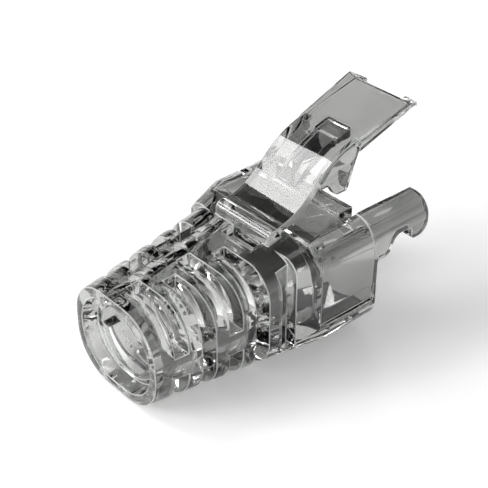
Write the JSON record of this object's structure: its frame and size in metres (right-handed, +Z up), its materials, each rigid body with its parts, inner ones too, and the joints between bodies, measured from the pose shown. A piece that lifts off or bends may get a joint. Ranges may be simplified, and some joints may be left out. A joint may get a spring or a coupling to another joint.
{
  "type": "rj45 strain relief boot",
  "caption": "Clear slide-on boot for a modular data plug: ringed flexible sleeve, square plug socket, sprung latch flap and two hooked arms.",
  "frame": {"origin": "centre of the round cable bore where the oval mouth ends", "axes": "+Y along the cable from the mouth to the plug socket, +Z up through the latch flap, +X to the right seen from the cable"},
  "size_m": [0.0138, 0.027, 0.0161],
  "materials": {
    "clear_plastic": "clear, glossy, faintly smoked"
  },
  "bodies": {
    "root": {"boot": "clear_plastic"}
  },
  "joints": []
}
